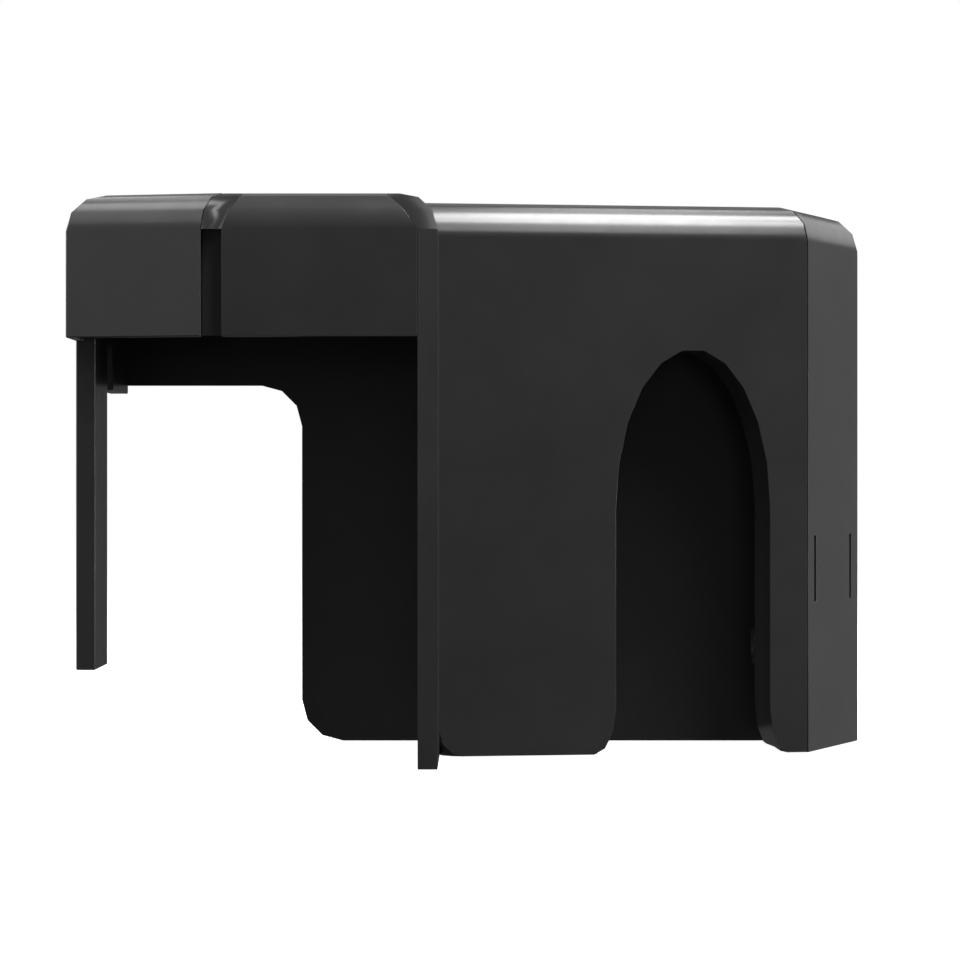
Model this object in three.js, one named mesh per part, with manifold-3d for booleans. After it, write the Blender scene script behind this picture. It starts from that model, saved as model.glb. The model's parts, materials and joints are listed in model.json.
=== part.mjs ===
// Covered snap mouse trap: a black moulded tunnel with an arched entrance, an open hand bay at its left,
// and a press-down lever between two cheeks that cocks a spring-driven striker above the arch.
// Units are millimetres. X runs to the right, Y runs from the front to the back and Z runs up.
// The origin is at the middle of the footprint, on the floor.

import * as THREE from 'three';
import { mergeVertices } from 'three/addons/utils/BufferGeometryUtils.js';
import Module from 'manifold-3d';

const wasm = await Module();
wasm.setup();

// ---------------------------------------------------------------- driving dimensions

const length = 125.7;             // left end of the wing to the rear right corner
const depth = 61.5;               // front edges of the cheeks to the back of the rear wall
const height = 87.3;              // floor to the tunnel roof
const wall = 3.0;                 // thickness of every moulded plate
const edgeRadius = 5.8;           // round of the top edges
const edgeFacets = 3;             // flats that make a round edge
const roofStep = 0.4;             // how much the bay roof lies below the tunnel roof
const seam = 0.25;                // gap between neighbouring mouldings
const running = 0.1;              // radial clearance of a hub on its pin

const bayLength = 56.4;           // left end to the outer face of the centre cheek
const wingLength = 20.9;          // left end to the outer face of the left cheek
const wingSweep = 5.1;            // how far the wing's left end lies behind its right end
const wingSkin = 1.8;             // thickness of the wing's side wall
const fasciaHeight = 21.9;        // height of the wing and of the lever's front plate
const lipReach = 4.9;             // how far a cheek's top lip leans over the lever

const frontSetLeft = 23.8;        // front wall's left end behind the cheeks' front edges
const frontSetRight = 33.2;       // front wall's right end behind the cheeks' front edges
const cornerInset = 10.6;         // front right corner, measured in from the rear right corner

const archInset = 19.15;          // middle of the arch to the front right corner, along the wall
const archHalfWidth = 12.3;
const header = 23.1;              // tunnel roof down to the top of the arch
const archRise = 25.1;            // height of the arch's curved part
const archFacets = 11;
const flareWidth = 3.5;           // round of the arch's feet
const flareHeight = 7.3;
const collarGap = 0.35;           // arch's inner collar to the striker behind it
const collarWall = 2.4;
const footRadius = 4.0;           // front wall's lower left corner

const cutX = 33.1;                // left end to the rear wall's upright edge
const cutDrop = 5.8;              // foot of the lever and the wing down to the cut-out's top
const cutRadius = 6.8;

const legFront = 9.1;             // side leg, from the front
const legDepth = 17.0;
const legFoot = 14.4;             // height of the leg's lower end
const railFront = 34.7;
const railDrop = 7.2;             // foot of the wing down to the rail's lower end
const lapHeight = 6.5;            // how far both side plates reach up inside the wing
const sideInset = 1.1;            // side plates' outer face, in from the left end
const mouthDrop = 8.0;            // striker's axle down to the top of the tunnel's mouth

const axleRadius = 1.5;
const hubWall = 1.7;
const leverAxleBack = 6.5;        // lever axle in front of the rear wall's outer face
const leverAxleDrop = 7.9;        // bay roof down to the lever's axle
const pivotX = 8.4;               // striker axle, right of the centre cheek's outer face
const pivotDrop = 19.3;           // tunnel roof down to the striker's axle
const armHeight = 5.0;
const armWall = 3.0;
const coilSpace = 6.1;            // striker's fork to the rear wall, where the coil sits
const strikerWidth = 9.2;
const strikeBarRadius = 1.7;
const tailReach = 6.5;
const bossReach = 3.6;            // boss of the striker's axle, out from the front wall's left end
const tailWidth = 4.4;
const firedAngle = 60;            // degrees that the striker swings down
const pegGap = 0.5;               // fired striker to its stop peg

const triggerDrop = 11.3;         // tunnel roof down to the trigger's pin
const triggerInset = 5.5;         // trigger's pin, in from the front right corner
const toeInset = 4.4;             // trigger's pin back to the middle of the strike bar
const triggerWidth = 8.0;
const triggerWall = 2.0;
const paddleFoot = 12.0;          // height of the trigger's lower end
const ledgeGap = 0.35;             // trigger's ledge to the striker's toe, in plan
const slotHeight = 10.6;          // upright slots in the end wall
const slotWidth = 1.2;
const slotMiddle = 29.2;
const slotFirst = 3.9;            // along the end wall from its front corner
const slotLast = 4.1;             // second slot to the end wall's rear corner

const screwRadius = 1.3;
const screwHead = 2.7;
const headDepth = 1.6;
const postRadius = 3.0;
const postDepth = 9.0;
const postInset = 0.8;            // post to the wall beside it
const wingPostInset = 5.6;
const postLift = 4.0;             // posts clear of a round edge or of the floor
const tunnelPostReach = 20.0;     // tunnel's post, right of the centre cheek
const bayPostReach = 4.6;         // bay's post, right of the left cheek
const cheekRise = 4.0;            // how much the left cheek's lower edge climbs towards the back
const lugLead = 0.6;              // lever's lug, ahead of the striker's tail
const lugDepth = 5.0;
const lugWall = 3.0;
const lugGap = 9.2;               // striker's axle up to the lug's lower face
const lugStroke = 4.2;            // room below the lug in the centre cheek's window

const left = -length / 2;
const right = length / 2;
const front = -depth / 2;
const back = depth / 2;
const rearInner = back - wall;
const bayHeight = height - roofStep;
const fasciaFoot = bayHeight - fasciaHeight;
const centreOuter = left + bayLength;
const centreInner = centreOuter - wall;
const leftOuter = left + wingLength;
const leftInner = leftOuter + wall;
const cutHeight = fasciaFoot - cutDrop;

// ---------------------------------------------------------------- helpers

const X = new THREE.Vector3(1, 0, 0);
const Y = new THREE.Vector3(0, 1, 0);
const Z = new THREE.Vector3(0, 0, 1);
const far = 300;                  // past the trap on every side

function solid(geometry) {
  const bare = geometry.clone();
  bare.deleteAttribute('normal');
  bare.deleteAttribute('uv');
  const merged = mergeVertices(bare, 1e-4);
  const corners = merged.index.array;
  const kept = [];
  for (let i = 0; i < corners.length; i += 3) {
    const [a, b, c] = [corners[i], corners[i + 1], corners[i + 2]];
    if (a !== b && b !== c && c !== a) kept.push(a, b, c);
  }
  const vertProperties = new Float32Array(merged.attributes.position.array);
  return new wasm.Manifold(new wasm.Mesh({ numProp: 3, vertProperties, triVerts: new Uint32Array(kept) }));
}

function join(...solids) {
  return solids.reduce((sum, next) => sum.add(next));
}

// Points on a quarter or half round, from one angle to another in degrees, both ends included.
function arc(cx, cz, rx, rz, from, to, count) {
  const points = [];
  for (let i = 0; i <= count; i += 1) {
    const angle = THREE.MathUtils.degToRad(from + (to - from) * i / count);
    points.push([cx + rx * Math.cos(angle), cz + rz * Math.sin(angle)]);
  }
  return points;
}

// An outline drawn on the axes across and up, extruded along across x up from the given origin.
function prism(points, origin, across, up, distance) {
  const shape = new THREE.Shape(points.map(([u, v]) => new THREE.Vector2(u, v)));
  const geometry = new THREE.ExtrudeGeometry(shape, { depth: distance, bevelEnabled: false });
  const along = new THREE.Vector3().crossVectors(across, up);
  geometry.applyMatrix4(new THREE.Matrix4().makeBasis(across, up, along).setPosition(origin));
  return solid(geometry);
}

const prismX = (points, x0, x1) => prism(points, new THREE.Vector3(x0, 0, 0), Y, Z, x1 - x0);
const prismY = (points, y0, y1) => prism(points, new THREE.Vector3(0, y1, 0), X, Z, y1 - y0);
const prismZ = (points, z0, z1) => prism(points, new THREE.Vector3(0, 0, z0), X, Y, z1 - z0);

function box(x0, x1, y0, y1, z0, z1) {
  const geometry = new THREE.BoxGeometry(x1 - x0, y1 - y0, z1 - z0);
  geometry.translate((x0 + x1) / 2, (y0 + y1) / 2, (z0 + z1) / 2);
  return solid(geometry);
}

// A round bar along X or Y between two places on that axis.
function barX(radius, x0, x1, y, z, sides = 24) {
  const geometry = new THREE.CylinderGeometry(radius, radius, x1 - x0, sides);
  geometry.rotateZ(Math.PI / 2);
  geometry.translate((x0 + x1) / 2, y, z);
  return solid(geometry);
}

function barY(radius, y0, y1, x, z, sides = 24) {
  const geometry = new THREE.CylinderGeometry(radius, radius, y1 - y0, sides);
  geometry.translate(x, (y0 + y1) / 2, z);
  return solid(geometry);
}

// Everything on one side of an upright plane: the side that the normal points to, past the offset.
function halfSpace(point, normal, offset) {
  const along = new THREE.Vector3(-normal.y, normal.x, 0);
  const start = point.clone().addScaledVector(normal, offset);
  const corners = [[-far, 0], [-far, far], [far, far], [far, 0]].map(([a, b]) => {
    const corner = start.clone().addScaledVector(along, a).addScaledVector(normal, b);
    return [corner.x, corner.y];
  });
  return prismZ(corners, -far, far);
}

// One upright wall of a cover: its outer face, with a round top edge, and everything behind that face.
// With skin above 0 it is the space inside the wall instead.
function coverSide(point, direction, top, skin) {
  const inward = new THREE.Vector3(-direction.y, direction.x, 0);
  const radius = edgeRadius - skin;
  const profile = [
    [skin, -far],
    ...arc(edgeRadius, top - edgeRadius, radius, radius, 180, 90, edgeFacets),
    [far, top - skin],
    [far, -far],
  ];
  const start = point.clone().addScaledVector(direction, -far);
  return prism(profile, start, inward, Z, 2 * far);
}

function wire(curve, radius, steps, sides = 6) {
  const section = new THREE.Shape(arc(0, 0, radius, radius, 0, 360, sides).slice(0, sides)
    .map(([u, v]) => new THREE.Vector2(u, v)));
  return solid(new THREE.ExtrudeGeometry(section, { steps, extrudePath: curve, bevelEnabled: false }));
}

// A coil whose axis runs along the given axis name, with straight ends led off by the tails.
class Coil extends THREE.Curve {
  constructor(centre, radius, turns, travel, axis, startAngle) {
    super();
    Object.assign(this, { centre, radius, turns, travel, axis, startAngle });
  }

  getPoint(t, target = new THREE.Vector3()) {
    const angle = this.startAngle + 2 * Math.PI * this.turns * t;
    const a = this.radius * Math.cos(angle);
    const b = this.radius * Math.sin(angle);
    const along = this.travel * (t - 0.5);
    if (this.axis === 'x') target.set(along, a, b);
    else target.set(a, along, b);
    return target.add(this.centre);
  }
}

const materials = {
  plastic: new THREE.MeshStandardMaterial({ color: 0x1d1d1e, roughness: 0.42, metalness: 0.0 }),
  working: new THREE.MeshStandardMaterial({ color: 0x26282a, roughness: 0.5, metalness: 0.0 }),
  steel: new THREE.MeshStandardMaterial({ color: 0x9a9da1, roughness: 0.32, metalness: 1.0 }),
};

const group = new THREE.Group();

function place(name, body, material) {
  const { numProp, vertProperties, triVerts } = body.getMesh();
  const position = new Float32Array(vertProperties.length / numProp * 3);
  for (let i = 0; i < position.length / 3; i += 1) {
    position.set(vertProperties.subarray(i * numProp, i * numProp + 3), i * 3);
  }
  const geometry = new THREE.BufferGeometry();
  geometry.setAttribute('position', new THREE.BufferAttribute(position, 3));
  geometry.setIndex(new THREE.BufferAttribute(new Uint32Array(triVerts), 1));
  const mesh = new THREE.Mesh(geometry, material);
  mesh.name = name;
  group.add(mesh);
}

// ---------------------------------------------------------------- tunnel

const frontLeft = new THREE.Vector3(centreOuter, front + frontSetLeft, 0);
const frontRight = new THREE.Vector3(right - cornerInset, front + frontSetRight, 0);
const rearRight = new THREE.Vector3(right, rearInner, 0);
const frontRun = frontRight.clone().sub(frontLeft).normalize();
const endRun = rearRight.clone().sub(frontRight).normalize();
const frontIn = new THREE.Vector3(-frontRun.y, frontRun.x, 0);
const endIn = new THREE.Vector3(-endRun.y, endRun.x, 0);
const frontLength = frontRight.distanceTo(frontLeft);
const endLength = rearRight.distanceTo(frontRight);
const mitre = frontIn.clone().add(endIn).normalize();
const mitreSide = new THREE.Vector3(mitre.y, -mitre.x, 0);

const forkRear = rearInner - coilSpace;
const forkFront = forkRear - strikerWidth;
const archCentre = frontLength - archInset;
const archSpring = height - header - archRise;
const collarEnd = archCentre + archHalfWidth + collarWall;
const collarDepth = (forkFront - collarGap - frontLeft.y - collarEnd * frontRun.y) / frontIn.y;

const insideRear = halfSpace(new THREE.Vector3(0, rearInner, 0), new THREE.Vector3(0, -1, 0), 0);
const aboveFloor = box(-far, far, -far, far, 0, far);

function tunnelSpace(skin) {
  return coverSide(frontLeft, frontRun, height, skin).intersect(coverSide(frontRight, endRun, height, skin));
}

const tunnelShell = tunnelSpace(0).subtract(tunnelSpace(wall)).intersect(insideRear).intersect(aboveFloor);

// The outline of a cheek's outer side: upright, round at the top, then everything towards the lever.
function cheekOutline(outer, side, gap) {
  const face = outer + side * gap;
  return [
    [face, -far],
    ...arc(face - side * edgeRadius, bayHeight - edgeRadius, side * edgeRadius, edgeRadius, 0, 90, edgeFacets),
    [face - side * edgeRadius, far],
    [-side * far, far],
    [-side * far, -far],
  ];
}

// The entrance: straight jambs, a half-oval head, and feet that flare out to the floor.
function archOutline(grow) {
  const half = archHalfWidth + grow;
  const flare = (side) => {
    const centre = archCentre + side * (archHalfWidth + flareWidth);
    const points = arc(centre, flareHeight, -side * flareWidth, flareHeight, 270, 360, edgeFacets);
    return side > 0 ? points : points.reverse();
  };
  const head = arc(archCentre, archSpring, half, archRise + grow, 0, 180, archFacets);
  if (grow > 0) return [[archCentre + half, 0], ...head, [archCentre - half, 0]];
  const span = archHalfWidth + flareWidth;
  return [[archCentre + span, -wall], ...flare(1), ...head, ...flare(-1), [archCentre - span, -wall]];
}

// A shape cut in the plane of an upright wall, from one depth behind its outer face to another.
function wallPrism(points, corner, run, inward, from, to) {
  return prism(points, corner.clone().addScaledVector(inward, to), run, Z, to - from);
}

const collar = wallPrism(archOutline(collarWall), frontLeft, frontRun, frontIn, wall / 2, collarDepth);
const archCut = wallPrism(archOutline(0), frontLeft, frontRun, frontIn, -wall, collarDepth + wall);
const footCut = wallPrism([
  [-wall, -wall],
  [footRadius, -wall],
  ...arc(footRadius, footRadius, footRadius, footRadius, 270, 180, edgeFacets),
  [-wall, footRadius],
], frontLeft, frontRun, frontIn, -wall, 2 * wall);

const pivot = new THREE.Vector3(centreOuter + pivotX, 0, height - pivotDrop);
const bossEnd = front + frontSetLeft + wall + bossReach;
const pivotFrontEnd = bossEnd - 2.0;
const tailFront = bossEnd + 1.2;
const axleBoss = barY(axleRadius + hubWall, front + frontSetLeft + wall, bossEnd, pivot.x, pivot.z);
const bossHole = barY(axleRadius + running, pivotFrontEnd, bossEnd + wall, pivot.x, pivot.z);

// Screw posts stand on the covers and meet the rear wall's inner face.
const screwPlaces = {
  screw_wing: [left + wingSkin + postRadius + wingPostInset, fasciaFoot + lapHeight + postRadius],
  screw_bay: [leftInner + bayPostReach, fasciaFoot + cheekRise + postRadius],
  screw_tunnel: [centreOuter + tunnelPostReach, height - wall - postRadius + postInset],
  screw_end_top: [right - wall - postRadius - postInset, height - edgeRadius - postRadius - postLift],
  screw_end_foot: [right - wall - postRadius - postInset, postRadius + postLift],
};

function post([x, z], reach = postDepth) {
  return barY(postRadius, rearInner - reach, rearInner, x, z, 20);
}

function screwHole([x, z]) {
  return join(
    barY(screwRadius + running, rearInner - postDepth + 1, back + wall, x, z, 16),
    barY(screwHead + running, back - headDepth - running, back + wall, x, z, 20),
  );
}

const tunnelPost = post(screwPlaces.screw_tunnel)
  .subtract(box(-far, far, -far, far, height - wall / 2, far));
const endSideSpace = coverSide(frontRight, endRun, height, wall / 2);
const endPosts = join(post(screwPlaces.screw_end_top), post(screwPlaces.screw_end_foot));
const endWebs = join(
  box(screwPlaces.screw_end_top[0], right, rearInner - wall, rearInner,
    screwPlaces.screw_end_top[1] - 1, screwPlaces.screw_end_top[1] + 1),
  box(screwPlaces.screw_end_foot[0], right, rearInner - wall, rearInner,
    screwPlaces.screw_end_foot[1] - 1, screwPlaces.screw_end_foot[1] + 1),
).intersect(endSideSpace);

const frontShell = tunnelShell
  .intersect(halfSpace(frontRight, mitreSide.clone().negate(), seam / 2))
  .add(collar)
  .add(axleBoss)
  .add(tunnelPost)
  .subtract(archCut)
  .subtract(footCut)
  .subtract(bossHole)
  .subtract(prismY(cheekOutline(centreOuter, 1, seam), -far, far))
  .subtract(screwHole(screwPlaces.screw_tunnel));
place('front_shell', frontShell, materials.plastic);

const slotSecond = endLength - slotLast;
const slotAlong = [slotFirst, slotSecond];
const slotCuts = slotAlong.map((along) => wallPrism([
  [along - slotWidth / 2, slotMiddle - slotHeight / 2],
  [along + slotWidth / 2, slotMiddle - slotHeight / 2],
  [along + slotWidth / 2, slotMiddle + slotHeight / 2],
  [along - slotWidth / 2, slotMiddle + slotHeight / 2],
], frontRight, endRun, endIn, -wall, 2 * wall));

let endShell = tunnelShell
  .intersect(halfSpace(frontRight, mitreSide, seam / 2))
  .add(endPosts)
  .add(endWebs);
for (const cut of slotCuts) endShell = endShell.subtract(cut);
endShell = endShell
  .subtract(screwHole(screwPlaces.screw_end_top))
  .subtract(screwHole(screwPlaces.screw_end_foot));
place('end_shell', endShell, materials.plastic);

// ---------------------------------------------------------------- rear wall

const cutEdge = left + cutX;
const rearOutline = [
  ...arc(cutEdge + cutRadius, cutRadius, cutRadius, cutRadius, 270, 180, edgeFacets),
  ...arc(cutEdge - cutRadius, cutHeight - cutRadius, cutRadius, cutRadius, 0, 90, edgeFacets),
  [left, cutHeight],
  ...arc(left + edgeRadius, bayHeight - edgeRadius, edgeRadius, edgeRadius, 180, 90, edgeFacets),
  ...arc(right - edgeRadius, bayHeight - edgeRadius, edgeRadius, edgeRadius, 90, 0, edgeFacets),
  [right, 0],
];
let rearWall = prismY(rearOutline, rearInner, back);
for (const spot of Object.values(screwPlaces)) rearWall = rearWall.subtract(screwHole(spot));
place('rear_wall', rearWall, materials.plastic);

// ---------------------------------------------------------------- cheeks

// The round front edge that the cheeks and the lever share, seen from the side.
function sideOutline(foot, rear) {
  return [
    [front, foot],
    ...arc(front + edgeRadius, bayHeight - edgeRadius, edgeRadius, edgeRadius, 180, 90, edgeFacets),
    [rear, bayHeight],
    [rear, foot],
  ];
}

function cheekPlate(outer, side) {
  const inner = outer - side * wall;
  const lip = inner - side * lipReach;
  return prismY([
    [outer, 0],
    ...arc(outer - side * edgeRadius, bayHeight - edgeRadius, side * edgeRadius, edgeRadius, 0, 90, edgeFacets),
    [lip, bayHeight],
    [inner, bayHeight - edgeRadius],
    [inner, 0],
  ], front, rearInner);
}

const leverAxle = new THREE.Vector3(0, back - leverAxleBack, bayHeight - leverAxleDrop);
const lug = {
  front: tailFront - lugLead,
  rear: tailFront - lugLead + lugDepth,
  foot: pivot.z + lugGap,
  head: pivot.z + lugGap + lugWall,
};
const lugWindow = box(centreInner - 2 * wall, centreOuter + wall,
  lug.front - 1.5, lug.rear + 2.5, lug.foot - lugStroke, lug.head + 1.2);
const mouthFront = front + frontSetLeft + wall;
const mouthHeight = pivot.z - mouthDrop;
const mouth = prismX([
  [mouthFront, -wall],
  ...arc(mouthFront + cutRadius, mouthHeight - cutRadius, cutRadius, cutRadius, 180, 90, edgeFacets),
  [far, mouthHeight],
  [far, -wall],
], centreInner - wall, centreOuter + wall);

const centreCheek = cheekPlate(centreOuter, 1)
  .intersect(prismX(sideOutline(0, rearInner), -far, far))
  .subtract(mouth)
  .subtract(lugWindow);
place('centre_cheek', centreCheek, materials.plastic);

const cheekSide = sideOutline(fasciaFoot, rearInner);
cheekSide[cheekSide.length - 1][1] += cheekRise;
const leftCheek = cheekPlate(leftOuter, -1)
  .intersect(prismX(cheekSide, -far, far))
  .add(post(screwPlaces.screw_bay))
  .add(box(leftInner - wall / 2, screwPlaces.screw_bay[0], rearInner - postDepth, rearInner,
    screwPlaces.screw_bay[1] - 1, screwPlaces.screw_bay[1] + 1))
  .subtract(screwHole(screwPlaces.screw_bay));
place('left_cheek', leftCheek, materials.plastic);

// ---------------------------------------------------------------- left wing and side plates

const wingLeft = new THREE.Vector3(left, front + wingSweep, 0);
const wingRight = new THREE.Vector3(leftOuter, front, 0);
const wingRun = wingRight.clone().sub(wingLeft).normalize();
const forward = new THREE.Vector3(0, -1, 0);

function wingSpace(faceSkin, sideSkin) {
  return coverSide(wingLeft, wingRun, bayHeight, faceSkin)
    .intersect(coverSide(wingLeft, forward, bayHeight, sideSkin));
}

const wing = wingSpace(0, 0)
  .intersect(box(-far, far, -far, rearInner, fasciaFoot, far))
  .subtract(wingSpace(wall, wingSkin))
  .add(post(screwPlaces.screw_wing))
  .add(box(left + wingSkin / 2, screwPlaces.screw_wing[0], rearInner - postDepth, rearInner,
    screwPlaces.screw_wing[1] - 1, screwPlaces.screw_wing[1] + 1))
  .subtract(prismY(cheekOutline(leftOuter, -1, seam), -far, far))
  .subtract(screwHole(screwPlaces.screw_wing));
place('left_wing', wing, materials.plastic);

// A side plate is full thickness below the wing and thinned above, where it laps inside the wing's side wall.
function sidePlate(y0, y1, foot, head) {
  const outer = left + sideInset;
  const lapFace = left + wingSkin + seam;
  return prismY([
    [outer, foot],
    [outer, fasciaFoot - seam],
    [lapFace, fasciaFoot - seam],
    [lapFace, head],
    [outer + wall, head],
    [outer + wall, foot],
  ], y0, y1);
}

const lapHead = fasciaFoot + lapHeight;
place('side_leg', sidePlate(front + legFront, front + legFront + legDepth, legFoot, lapHead), materials.plastic);
place('side_rail', sidePlate(front + railFront, rearInner, fasciaFoot - railDrop, lapHead), materials.plastic);

// ---------------------------------------------------------------- set lever

const leverLeft = leftInner + seam;
const leverRight = centreInner - seam;
const leverRear = leverAxle.y + 2;
const hubRadius = axleRadius + running + hubWall;
const leverSection = [
  [leverLeft, 0],
  [leverLeft, bayHeight - edgeRadius - seam],
  [leverLeft + lipReach + seam, bayHeight],
  [leverRight - lipReach - seam, bayHeight],
  [leverRight, bayHeight - edgeRadius - seam],
  [leverRight, 0],
];
const leverHollow = prismX([
  [front + wall, 0],
  ...arc(front + edgeRadius, bayHeight - edgeRadius, edgeRadius - wall, edgeRadius - wall, 180, 90, edgeFacets),
  [far, bayHeight - wall],
  [far, 0],
], -far, far);
const springSpan = 10;
const leverMiddle = (leverLeft + leverRight) / 2;
const hubBore = barX(axleRadius + running, -far, far, leverAxle.y, leverAxle.z);

function knuckle(x0, x1) {
  return join(
    barX(hubRadius, x0, x1, leverAxle.y, leverAxle.z),
    box(x0, x1, leverAxle.y - hubRadius, leverAxle.y + 2, leverAxle.z, bayHeight - wall / 2),
  );
}

function leverRib(x0, x1) {
  return prismX([
    [front + wall / 2, fasciaFoot + 4],
    [front + wall / 2, bayHeight - wall],
    [front + edgeRadius, bayHeight - wall / 2],
    [leverAxle.y, bayHeight - wall / 2],
    [leverAxle.y, leverAxle.z + hubRadius - 0.5],
    [front + wall + 6, bayHeight - wall - 3.5],
  ], x0, x1);
}

const ribInset = lipReach + 1;
const lugArm = join(
  box(leverRight - wall, centreOuter + pivotX - 0.6, lug.front, lug.rear, lug.foot, lug.head),
  box(leverRight - wall, leverRight - 0.6, lug.front, lug.rear, lug.foot, bayHeight - edgeRadius - seam),
  box(leverRight - wall - 3, leverRight - 0.6, lug.front, lug.rear, lug.head - 1, bayHeight - wall / 2)
    .intersect(prismY(leverSection, -far, far)),
);
const setLever = prismY(leverSection, -far, far)
  .intersect(prismX(sideOutline(fasciaFoot, leverRear), -far, far))
  .subtract(leverHollow)
  .add(join(
    knuckle(leverLeft, leverMiddle - springSpan / 2 - seam),
    knuckle(leverMiddle + springSpan / 2 + seam, leverRight),
  ).intersect(prismY(leverSection, -far, far)))
  .add(leverRib(leverLeft + ribInset, leverLeft + ribInset + 1.6))
  .add(leverRib(leverRight - ribInset - 1.6, leverRight - ribInset))
  .add(lugArm)
  .subtract(hubBore);
place('set_lever', setLever, materials.plastic);
place('lever_axle', barX(axleRadius, leftInner, centreInner, leverAxle.y, leverAxle.z), materials.steel);

const springWire = 0.45;
const leverCoil = new Coil(leverAxle.clone().setX(leverMiddle),
  axleRadius + running + springWire, 5, springSpan - 3 * springWire, 'x', 0);
place('lever_spring', wire(leverCoil, springWire, 60), materials.steel);

// ---------------------------------------------------------------- striker

const pinX = frontRight.x - triggerInset;
const strikeX = pinX - toeInset;
const armReach = strikeX - pivot.x;
place('striker_axle', barY(axleRadius, pivotFrontEnd + seam, rearInner, pivot.x, pivot.z), materials.steel);

const armOutline = [
  [pivot.x, pivot.z - armHeight / 2],
  [strikeX + armHeight / 2, pivot.z - armHeight / 2],
  ...arc(strikeX, pivot.z, armHeight / 2, armHeight / 2, 0, 90, 3),
  [pivot.x, pivot.z + armHeight / 2],
];
const webX = pivot.x + armReach * 0.55;
const strikeHole = barY(strikeBarRadius + running / 5, -far, far, strikeX, pivot.z);
const strikerBody = join(
  barY(hubRadius, tailFront, forkRear, pivot.x, pivot.z),
  prismY(armOutline, forkFront, forkFront + armWall),
  prismY(armOutline, forkRear - armWall, forkRear),
  box(pivot.x, pivot.x + 7, forkFront, forkRear, pivot.z - armHeight / 2, pivot.z + armHeight / 2),
  box(webX, webX + 3, forkFront, forkRear, pivot.z - armHeight / 2, pivot.z + armHeight / 2),
  box(pivot.x - tailReach, pivot.x, tailFront, tailFront + tailWidth, pivot.z - 2, pivot.z + 2),
)
  .subtract(barY(axleRadius + running, -far, far, pivot.x, pivot.z))
  .subtract(strikeHole);
place('striker', strikerBody, materials.working);
place('strike_bar', barY(strikeBarRadius, forkFront, forkRear, strikeX, pivot.z), materials.steel);

const coilWire = 0.55;
const coilRadius = axleRadius + running + coilWire + 0.2;
const coilFront = forkRear + 0.3;
const coilTravel = rearInner - coilFront - 2 * coilWire - 0.6;
const coilMiddle = coilFront + coilWire + coilTravel / 2;
const strikerCoil = new Coil(new THREE.Vector3(pivot.x, coilMiddle, pivot.z),
  coilRadius, 3.25, coilTravel, 'y', Math.PI / 2);
place('striker_spring', wire(strikerCoil, coilWire, 48), materials.steel);

const springArmLength = 15;
const springArmLine = new THREE.LineCurve3(
  new THREE.Vector3(pivot.x + hubRadius + 0.4, forkRear - armWall / 2, pivot.z + armHeight / 2 + coilWire),
  new THREE.Vector3(pivot.x + hubRadius + springArmLength, forkRear - armWall / 2,
    pivot.z + armHeight / 2 + coilWire),
);
place('spring_arm', wire(springArmLine, coilWire - 0.05, 1), materials.steel);

const fired = THREE.MathUtils.degToRad(firedAngle);
const pegAlong = 12;
const pegAside = armHeight / 2 + axleRadius + pegGap;
const pegX = pivot.x + pegAlong * Math.cos(fired) - pegAside * Math.sin(fired);
const pegZ = pivot.z - pegAlong * Math.sin(fired) - pegAside * Math.cos(fired);
place('stop_peg', barY(axleRadius, forkFront, rearInner, pegX, pegZ), materials.steel);

// ---------------------------------------------------------------- trigger and bait

const triggerHeight = height - triggerDrop;
const triggerFront = forkRear - triggerWidth + 1.6;
const triggerRear = triggerFront + triggerWidth;
const pinFront = triggerFront - 1.2;
place('trigger_pin', barY(axleRadius, pinFront, rearInner, pinX, triggerHeight), materials.steel);

const armLeft = pinX - triggerWall / 2 + 0.6;
const ledgeTop = pivot.z - armHeight / 2 - seam;
const toeEnd = pivot.x + Math.hypot(armReach + armHeight / 2, armHeight / 2);
const triggerBody = join(
  barY(hubRadius, triggerFront, triggerRear, pinX, triggerHeight),
  box(armLeft, armLeft + triggerWall, triggerFront, triggerRear, paddleFoot, triggerHeight),
  box(toeEnd + ledgeGap, armLeft + triggerWall / 2, triggerFront, triggerRear, ledgeTop - 2.2, ledgeTop),
).subtract(barY(axleRadius + running, -far, far, pinX, triggerHeight));
place('trigger_arm', triggerBody, materials.working);

const dishRadius = 3.2;
const dishDepth = 1.7;
const dishWall = 0.7;
const dishMiddle = (triggerFront + triggerRear) / 2;
const dishHeight = paddleFoot + dishRadius + 1;
const dishProfile = [
  [0, 0], [dishRadius, 0], [dishRadius - 0.3, dishDepth], [dishRadius - dishWall, dishDepth],
  [dishRadius - dishWall - 0.2, dishWall], [0, dishWall],
].map(([u, v]) => new THREE.Vector2(u, v));
const dishGeometry = new THREE.LatheGeometry(dishProfile, 24);
dishGeometry.rotateZ(Math.PI / 2);
dishGeometry.translate(armLeft, dishMiddle, dishHeight);
place('bait_dish', solid(dishGeometry), materials.working);

// ---------------------------------------------------------------- trigger bracket on the end wall

const tabInset = 0.15;
const bracketThickness = 1.4;
const bracketFace = wall + seam;
const bracketPlate = wallPrism([
  [slotFirst - 1.6, slotMiddle - slotHeight / 2 - 1],
  [slotSecond + 1.2, slotMiddle - slotHeight / 2 - 1],
  [slotSecond + 1.2, slotMiddle + slotHeight / 2 + 1],
  [slotFirst - 1.6, slotMiddle + slotHeight / 2 + 1],
], frontRight, endRun, endIn, bracketFace, bracketFace + bracketThickness);
const bracketTabs = slotAlong.map((along) => wallPrism([
  [along - slotWidth / 2 + tabInset, slotMiddle - slotHeight / 2 + tabInset],
  [along + slotWidth / 2 - tabInset, slotMiddle - slotHeight / 2 + tabInset],
  [along + slotWidth / 2 - tabInset, slotMiddle + slotHeight / 2 - tabInset],
  [along - slotWidth / 2 + tabInset, slotMiddle + slotHeight / 2 - tabInset],
], frontRight, endRun, endIn, wall / 2, bracketFace + bracketThickness / 2));
place('trigger_bracket', join(bracketPlate, ...bracketTabs), materials.working);

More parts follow.
